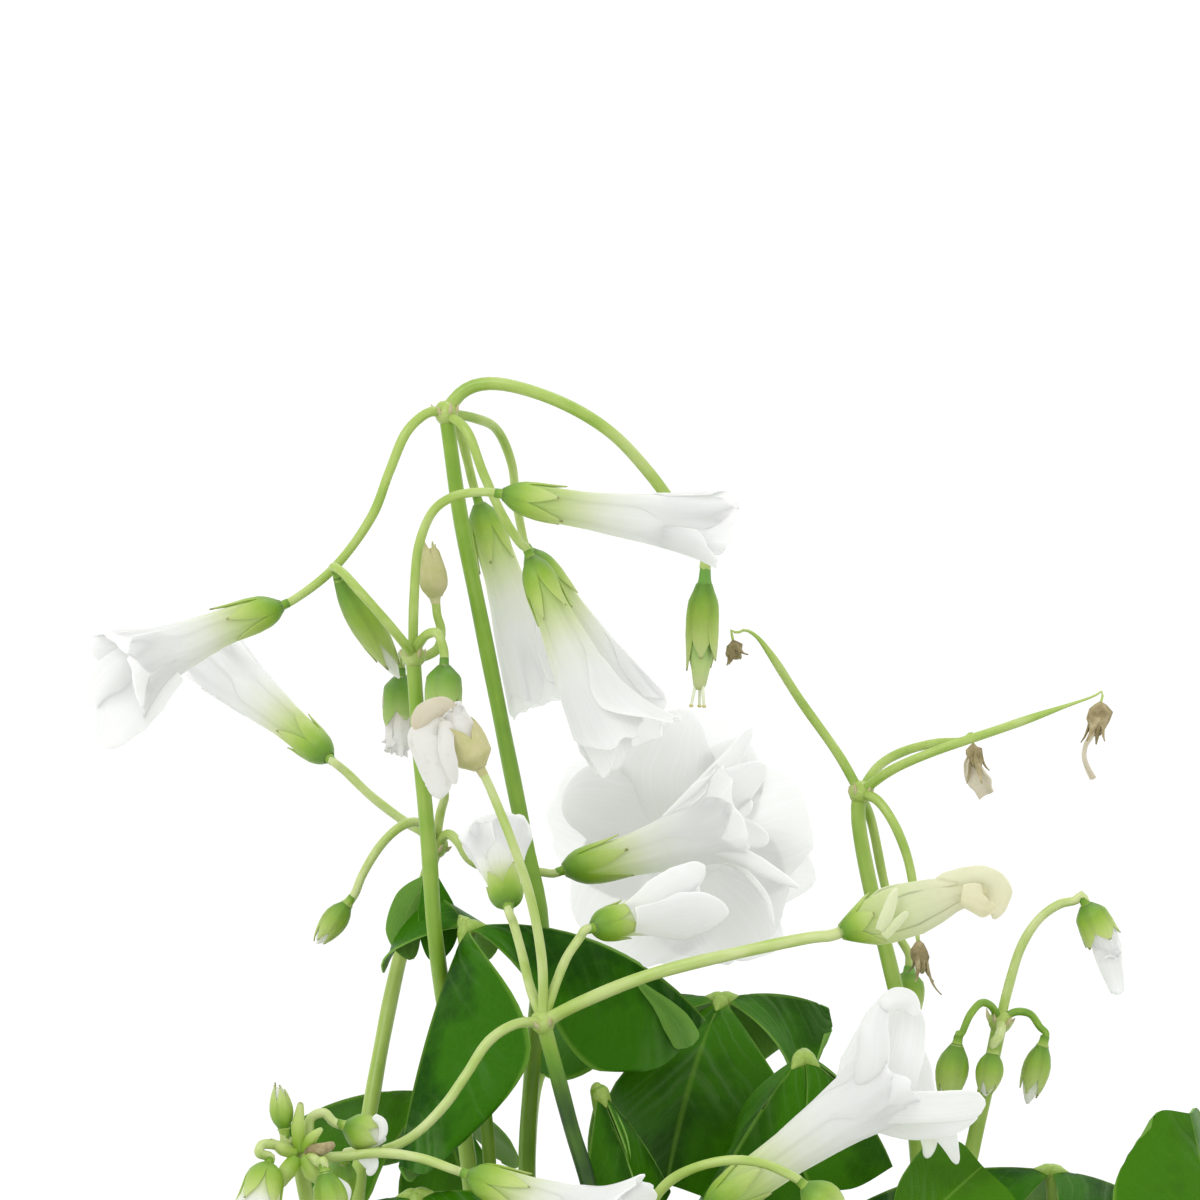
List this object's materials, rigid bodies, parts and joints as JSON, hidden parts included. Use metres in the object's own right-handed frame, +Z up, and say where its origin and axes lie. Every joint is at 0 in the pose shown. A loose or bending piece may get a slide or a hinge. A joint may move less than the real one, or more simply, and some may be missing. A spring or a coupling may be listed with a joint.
{
  "type": "potted flowering shamrock",
  "caption": "Flowering shamrock in a round tapered pot: trifoliate leaves on long stalks, umbels of funnel flowers on arching stems, with buds, seed pods and spent heads.",
  "frame": {"origin": "centre of the pot's base, on its underside", "axes": "+Z up along the pot's axis; seen from the front the plant is looked at along +Y, with +X to the right"},
  "size_m": [0.1584, 0.1659, 0.2449],
  "materials": {
    "terracotta": "matte",
    "soil": "matte",
    "leaf": "satin",
    "stem": "satin",
    "petal": "matte",
    "bud": "satin",
    "spent": "matte"
  },
  "bodies": {
    "root": {"bud_b2": "bud", "bud_d2": "bud", "faded_flower_c4": "spent", "flower_a1": "petal", "flower_a2": "petal", "flower_a3": "petal", "flower_a4": "petal", "flower_b1": "petal", "flower_c2": "petal", "flower_c3": "petal", "flower_d1": "petal", "flower_d3": "petal", "flower_g1": "petal", "flower_h1": "spent", "flower_i3": "petal", "flower_i5": "petal", "flower_k1": "petal", "flower_stem_a": "stem", "flower_stem_b": "stem", "flower_stem_c": "stem", "flower_stem_d": "stem", "flower_stem_e": "stem", "flower_stem_g": "stem", "flower_stem_h": "stem", "flower_stem_i": "stem", "flower_stem_k": "stem", "leaf_01": "leaf", "leaf_02": "leaf", "leaf_03": "leaf", "leaf_04": "leaf", "leaf_05": "leaf", "leaf_06": "leaf", "leaf_07": "leaf", "leaf_08": "leaf", "leaf_09": "leaf", "leaf_10": "leaf", "leaf_11": "leaf", "leaf_12": "leaf", "leaf_13": "leaf", "leaf_14": "leaf", "leaf_15": "leaf", "leaf_16": "leaf", "leaf_17": "leaf", "leaf_18": "leaf", "leaf_19": "leaf", "leaf_20": "leaf", "leaf_21": "leaf", "leaf_22": "leaf", "leaf_23": "leaf", "leaf_24": "leaf", "leaf_25": "leaf", "leaf_26": "leaf", "pot": "terracotta", "potting_soil": "soil", "seed_pod_a5": "bud", "seed_pod_b3": "bud", "spent_flower_b4": "spent", "spent_flower_b5": "spent", "spent_flower_c1": "spent", "spent_flower_c5": "spent"}
  },
  "joints": []
}
